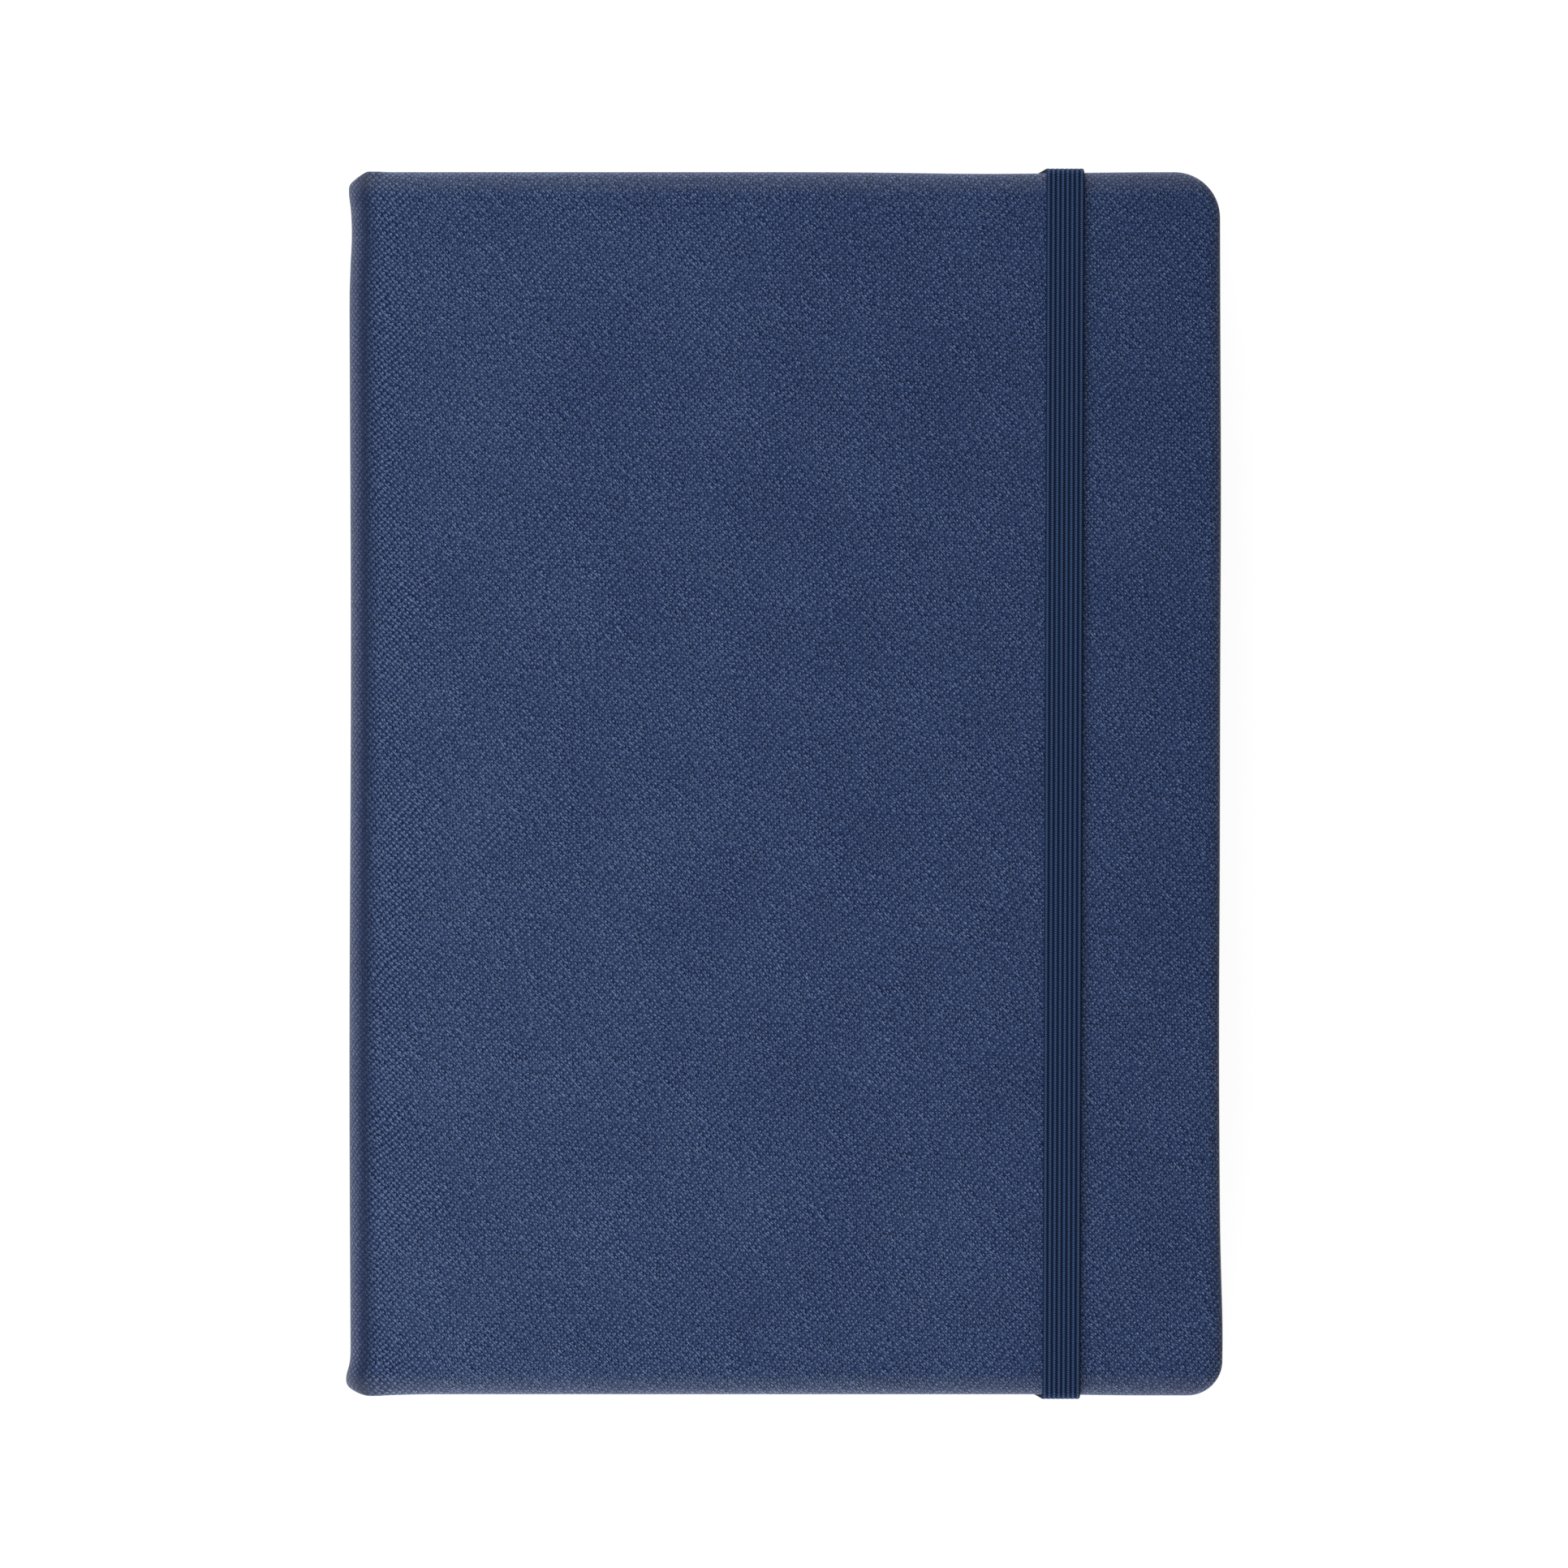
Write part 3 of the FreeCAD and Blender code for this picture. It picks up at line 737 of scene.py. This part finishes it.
def slab(top, bottom):
    """Points and faces of the closed solid between two grids of points."""
    count_u, count_v = top.shape[:2]
    size = count_u * count_v
    points = np.concatenate([top.reshape(-1, 3), bottom.reshape(-1, 3)])

    def at(i, j, low=0):
        return low * size + i * count_v + j

    faces = []
    for i in range(count_u - 1):
        for j in range(count_v - 1):
            faces.append((at(i, j), at(i + 1, j), at(i + 1, j + 1), at(i, j + 1)))
            faces.append((at(i, j, 1), at(i, j + 1, 1), at(i + 1, j + 1, 1), at(i + 1, j, 1)))
    for i in range(count_u - 1):
        faces.append((at(i + 1, 0), at(i, 0), at(i, 0, 1), at(i + 1, 0, 1)))
        j = count_v - 1
        faces.append((at(i, j), at(i + 1, j), at(i + 1, j, 1), at(i, j, 1)))
    for j in range(count_v - 1):
        faces.append((at(0, j), at(0, j + 1), at(0, j + 1, 1), at(0, j, 1)))
        i = count_u - 1
        faces.append((at(i, j + 1), at(i, j), at(i, j, 1), at(i, j + 1, 1)))
    return points, faces


def spine_card():
    """The stiffener in the spine, bent with the skin that is glued to it."""
    low, high = cad_box("spine_card")
    z, y = np.meshgrid([low[2], high[2]], np.linspace(low[1], high[1], 61), indexing="ij")
    outer, inner = np.full_like(y, low[0] + 0.05), np.full_like(y, high[0] - 0.05)
    points, faces = slab(np.dstack([outer, y, z]), np.dstack([inner, y, z]))
    obj = make_mesh("stiff_spine_card", handmade(points), faces, "spine", BOARD, sharp=30)
    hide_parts("spine_card")


spine_card()


def pastedown(name, front):
    """The endpaper on the inside of a cover, with the edge of the turned-in skin showing through it."""
    low, high = cad_box("front_pastedown")
    corner, margin = 4.4, FORE - TURN_IN
    x_lines = [
        np.linspace(low[0], margin - 1, 20),
        np.linspace(margin - 0.6, margin + 0.6, 7),
        np.linspace(margin + 1.5, high[0] - 5, 4),
        np.linspace(high[0] - corner, high[0], 8),
    ]
    step = HALF - TURN_IN
    side = [step - 0.6, step - 0.4, step - 0.2, step, step + 0.2, step + 0.4, step + 0.6, step + 3, step + 6]
    side = np.concatenate([side, np.linspace(high[1] - corner, high[1], 8)])
    y_lines = np.concatenate([-side[::-1], np.linspace(-step + 1, step - 1, 30), side])
    plan = sheet_grid(np.concatenate(x_lines), y_lines, corner)
    x, y = plan[..., 0], plan[..., 1]
    depth = COVER - TURN_IN_STEP * inside_margin(x, y)
    points, faces = slab(np.dstack([x, y, depth + PASTEDOWN]), np.dstack([x, y, depth]))
    if front:
        points[:, 2] = THICK - points[:, 2]
        faces = [face[::-1] for face in faces]
    obj = make_mesh(name, points, faces, "front_case" if front else "rear_case", ENDS, sharp=40)
    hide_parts(("front" if front else "rear") + "_pastedown")


pastedown("pastedown_front", True)
pastedown("pastedown_rear", False)

rng = np.random.default_rng(7)


def leaf_plan(near, far, half_y, radius):
    """Outline of one leaf, round at the two fore-edge corners."""
    turns = np.radians(np.linspace(0, 90, 7))
    low = [(far - radius + radius * math.sin(t), -half_y + radius - radius * math.cos(t)) for t in turns]
    high = [(far - radius + radius * math.cos(t), half_y - radius + radius * math.sin(t)) for t in turns]
    return np.array([(near, -half_y)] + low + high + [(near, half_y)])


def signature(node, body):
    """Leaves lying loosely, each a little out of line with the next. Their fold at the spine is round."""
    fold_depth, paper_share, lift = 0.28, 0.86, 0.004
    low, high = cad_box(node)
    pitch = (high[2] - low[2]) / LEAVES
    points, faces = [], []
    for k in range(LEAVES):
        slip = rng.normal(0, 0.035, 2)
        from_middle = abs(k - (LEAVES - 1) / 2) / (LEAVES / 2)
        near = low[0] + fold_depth * (1 - math.sqrt(max(0.0, 1 - from_middle**2)))
        plan = leaf_plan(near, high[0] - 0.06 + slip[0], high[1] - 0.05, PAGE_CORNER)
        plan[:, 1] += slip[1]
        base, count = len(points), len(plan)
        bottom = low[2] + pitch * k + lift
        for z in (bottom, bottom + paper_share * pitch):
            points += [(x, y, z) for x, y in plan]
        faces.append(tuple(base + i for i in range(count))[::-1])
        faces.append(tuple(base + count + i for i in range(count)))
        for i in range(count):
            following = (i + 1) % count
            faces.append((base + i, base + following, base + count + following, base + count + i))
    obj = make_mesh("leaves_" + node[-2:], points, faces, body, PAPER)
    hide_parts(node)


for number in range(1, 13):
    signature(f"signature_{number:02d}", "front_half" if number <= 6 else "rear_case")


def middle_spread():
    """The folded sheet at the middle opening. Its fold lies on the book's hinge."""
    hinge = next(j for j in frame["joints"] if j["name"] == "book_open")
    fold_x, middle = hinge["pos_m"][0] / MM, hinge["pos_m"][2] / MM
    gap, paper = 0.052, 0.05  # half the space between the two pages, and the sheet's thickness
    far = page_high[0] - 0.1
    near_fold, corner = np.linspace(fold_x + gap, fold_x + 3, 7), np.linspace(far - PAGE_CORNER, far, 9)
    flat = np.concatenate([near_fold, np.linspace(fold_x + 8, far - 7, 22), corner])
    half_y = page_high[1] - 0.1
    side = np.linspace(half_y - PAGE_CORNER, half_y, 9)
    y_lines = np.concatenate([-side[::-1], np.linspace(-half_y + 10, half_y - 10, 24), side])
    plan = sheet_grid(flat, y_lines, PAGE_CORNER)
    lower = np.dstack([plan, np.full(plan.shape[:2], middle - gap)])
    upper = np.dstack([plan, np.full(plan.shape[:2], middle + gap)])
    turn = np.radians(np.linspace(-75, 75, 11))
    bend = np.zeros((len(turn), len(y_lines), 3))
    for i, angle in enumerate(turn):
        bend[i, :, 0] = fold_x + gap - gap * math.cos(angle)
        bend[i, :, 1] = plan[0, :, 1]
        bend[i, :, 2] = middle + gap * math.sin(angle)
    face = np.concatenate([lower[::-1], bend, upper])
    normal = np.zeros_like(face)
    normal[: len(flat), :, 2] = 1
    normal[len(flat) + len(turn) :, :, 2] = -1
    for i, angle in enumerate(turn):
        normal[len(flat) + i, :, 0] = math.cos(angle)
        normal[len(flat) + i, :, 2] = -math.sin(angle)
    inner = face + normal * paper / 2
    outer = face - normal * paper / 2
    points, faces = slab(outer, inner)
    ordered = np.concatenate([fold_x - flat[::-1], np.zeros(len(turn)), flat - fold_x])
    place = np.zeros_like(face)
    place[..., 0] = ordered[:, None]
    place[..., 1] = face[..., 1]
    marks = np.concatenate([place.reshape(-1, 3)] * 2)
    obj = make_mesh("middle_spread", points, faces, None, RULED, marks, sharp=50)
    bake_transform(obj)


middle_spread()


# The elastic


def rounded_path(corners, steps=9):
    """Points along a rounded polyline in the y-z plane with corners (y, z, radius), and their distances."""
    path = [np.array(corners[0][:2])]
    for k in range(1, len(corners) - 1):
        here = np.array(corners[k][:2])
        before, after = np.array(corners[k - 1][:2]), np.array(corners[k + 1][:2])
        a, b = (before - here) / np.linalg.norm(before - here), (after - here) / np.linalg.norm(after - here)
        radius = corners[k][2]
        bend = math.acos(np.clip(a @ b, -1, 1))
        reach = radius / math.tan(bend / 2)
        centre = here + (a + b) / np.linalg.norm(a + b) * radius / math.sin(bend / 2)
        first, second = here + a * reach - centre, here + b * reach - centre
        sweep = math.pi - bend
        for t in np.linspace(0, 1, steps):
            mixed = (math.sin((1 - t) * sweep) * first + math.sin(t * sweep) * second) / math.sin(sweep)
            path.append(centre + mixed)
    path.append(np.array(corners[-1][:2]))
    dense = [path[0]]
    for a, b in zip(path, path[1:]):
        pieces = max(1, int(np.linalg.norm(b - a) / 2.5))
        dense += [a + (b - a) * (k + 1) / pieces for k in range(pieces)]
    dense = np.array(dense)
    run = np.concatenate([[0], np.cumsum(np.linalg.norm(np.diff(dense, axis=0), axis=1))])
    return dense, run


def elastic():
    """One band with both ends in the rear board's slots. Its sides are stretched thinner than its front."""
    thick, side_thick, skin_gap = ELASTIC_THICK, 0.5, 0.05
    side_y = HALF + skin_gap + side_thick / 2
    slot_y, slot_top = HALF - SLOT, 1.9
    top, bottom = run_low[2] + thick / 2, skin_gap + thick / 2
    half_loop = [(slot_y, slot_top, 0), (slot_y, bottom, 0.45), (side_y, bottom, 0.8), (side_y, top, 1.15)]
    corners = half_loop + [(-y, z, radius) for y, z, radius in half_loop[::-1]]
    path, run = rounded_path(corners)
    around, groove = 8, 0.13  # points round a rib, and the depth between ribs
    half = ELASTIC_WIDTH / 2
    top_w = np.linspace(-half, half, RIBS * around + 1)
    phase = (top_w + half) / ELASTIC_WIDTH * RIBS
    crown = np.abs(np.sin(math.pi * phase)) ** 0.7
    top_h = thick / 2 - groove * (1 - crown)
    top_h[0] = top_h[-1] = 0.0
    low_w = np.linspace(half, -half, 12)[1:-1]
    low_h = np.full(len(low_w), -thick / 2)
    width = np.concatenate([top_w, low_w])
    rise = np.concatenate([top_h, low_h])
    count = len(width)
    askew = 0.0035  # how far the front run strays from the fore-edge's direction
    front_x = ELASTIC_X - ELASTIC_ASIDE
    points, marks = [], []
    for k, (y, z) in enumerate(path):
        ahead, behind = path[min(k + 1, len(path) - 1)], path[max(k - 1, 0)]
        tangent = (ahead - behind) / np.linalg.norm(ahead - behind)
        thinned = 1 - (1 - side_thick / thick) * smooth(abs(y), side_y - 1.2, side_y)
        lean = (front_x - ANCHOR_X) * (1 - np.clip(z / THICK, 0, 1))
        middle = front_x + askew * y - lean
        for w, h in zip(width, rise):
            points.append((middle + w, y + tangent[1] * h * thinned, z - tangent[0] * h * thinned))
            marks.append((run[k], w, 0))
    faces = []
    for k in range(len(path) - 1):
        for c in range(count):
            following = (c + 1) % count
            a, b = k * count, (k + 1) * count
            faces.append((a + c, b + c, b + following, a + following))
    faces.append(tuple(range(count)))
    faces.append(tuple((len(path) - 1) * count + c for c in range(count))[::-1])
    obj = make_mesh("elastic_band_loop", points, faces, None, ELASTIC, marks, sharp=75)
    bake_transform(obj)
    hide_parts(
        "elastic_front_run",
        "elastic_head_side",
        "elastic_tail_side",
        "elastic_head_anchor",
        "elastic_tail_anchor",
    )


elastic()


# Floor, light and camera


def floor():
    """White where the camera sees it, with a faint shadow. It lights the book only as pale grey."""
    n = Nodes("floor")
    tree = n.tree
    n.set(Base_Color=(0.92, 0.92, 0.92, 1), Roughness=0.9)
    n.shader.inputs["Specular IOR Level"].default_value = 0.0
    glow = tree.nodes.new("ShaderNodeEmission")
    glow.inputs["Color"].default_value = (1, 1, 1, 1)
    glow.inputs["Strength"].default_value = 1.08
    rays = tree.nodes.new("ShaderNodeLightPath").outputs
    mirrored = n.math("MAXIMUM", rays["Is Glossy Ray"], rays["Is Transmission Ray"])
    seen = n.math("MAXIMUM", rays["Is Camera Ray"], mirrored)
    mixer = tree.nodes.new("ShaderNodeMixShader")
    n.link(n.times(seen, 0.87), mixer.inputs[0])
    tree.links.new(n.shader.outputs[0], mixer.inputs[1])
    tree.links.new(glow.outputs[0], mixer.inputs[2])
    tree.links.new(mixer.outputs[0], tree.nodes["Material Output"].inputs["Surface"])
    half, low = 2000.0, -0.02
    corners = [(-half, -half, low), (half, -half, low), (half, half, low), (-half, half, low)]
    make_mesh("floor", corners, [(0, 1, 2, 3)], material=n.material)


def lamp(name, place, size, power):
    """A soft rectangular lamp that points at the book. Metres and watts."""
    light = bpy.data.lights.new(name, "AREA")
    light.shape = "RECTANGLE"
    light.size, light.size_y = size
    light.energy = power
    obj = bpy.data.objects.new(name, light)
    bpy.context.scene.collection.objects.link(obj)
    obj.location = place
    obj.visible_glossy = False
    obj.rotation_euler = (-Vector(place)).to_track_quat("-Z", "Y").to_euler()


def world(strength):
    """Even light of this strength all round, and white where the camera sees it."""
    scene_world = bpy.data.worlds.new("soft_room")
    bpy.context.scene.world = scene_world
    scene_world.use_nodes = True
    tree = scene_world.node_tree
    back = tree.nodes["Background"]
    back.inputs["Color"].default_value = (1, 1, 1, 1)
    rays = tree.nodes.new("ShaderNodeLightPath").outputs
    mix = tree.nodes.new("ShaderNodeMath")
    mix.operation = "MULTIPLY_ADD"
    tree.links.new(rays["Is Camera Ray"], mix.inputs[0])
    mix.inputs[1].default_value = 1.0 - strength
    mix.inputs[2].default_value = strength
    tree.links.new(mix.outputs[0], back.inputs["Strength"])


def camera():
    """Straight above the book."""
    distance, frame_width, sensor = 1000.0, 273.9, 36.0
    data = bpy.data.cameras.new("camera")
    data.sensor_width = sensor
    data.lens = sensor * distance / frame_width
    data.clip_end = 20
    obj = bpy.data.objects.new("camera", data)
    bpy.context.scene.collection.objects.link(obj)
    obj.location = Vector((-0.03, -0.04, THICK + distance)) * MM
    bpy.context.scene.camera = obj


floor()
world(0.18)
lamp("head_light", (-0.35, 1.2, 0.38), (1.2, 0.3), 22)
lamp("tail_light", (-0.35, -1.2, 0.38), (1.2, 0.3), 23)
lamp("top_light", (-0.5, -0.3, 1.3), (0.5, 0.5), 4.5)
camera()
bpy.context.scene.view_settings.view_transform = "Standard"
